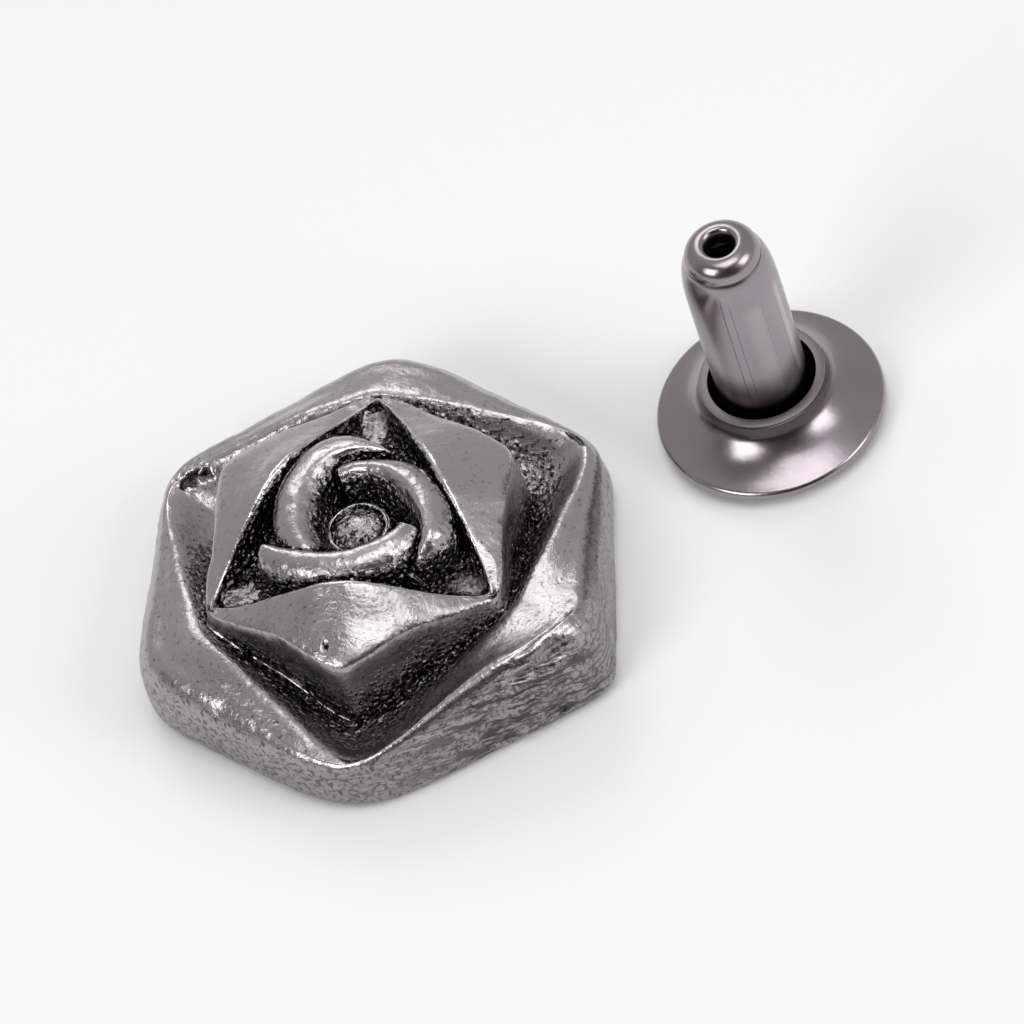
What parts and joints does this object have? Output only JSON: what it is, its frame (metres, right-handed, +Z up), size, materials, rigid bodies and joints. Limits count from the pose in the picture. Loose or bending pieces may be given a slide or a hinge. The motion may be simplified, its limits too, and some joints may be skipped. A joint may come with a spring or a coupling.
{
  "type": "leather rivet",
  "caption": "Decorative leather rivet: a rose-shaped hexagonal cast cap with a blind socket in its back, and a hollow-stemmed post on a round cap that is hammered into it.",
  "frame": {"origin": "centre of the mouth of the socket in the rose cap's flat back, on the plane both halves stand on", "axes": "+Z up, out of the rose's face and along the post's stem towards its tip; +X towards the side where the post stands; the rose's petal corners lie at 90, 210 and 330 degrees from +X"},
  "size_m": [0.0219, 0.0172, 0.0085],
  "materials": {
    "cast_gunmetal": "satin antique gunmetal with bright worn crests and black recesses",
    "stem_steel": "smooth dark nickel",
    "shell_steel": "satin dark nickel"
  },
  "bodies": {
    "root": {"rose_cap": "cast_gunmetal", "post_stem": "stem_steel", "post_shell": "shell_steel"}
  },
  "joints": []
}
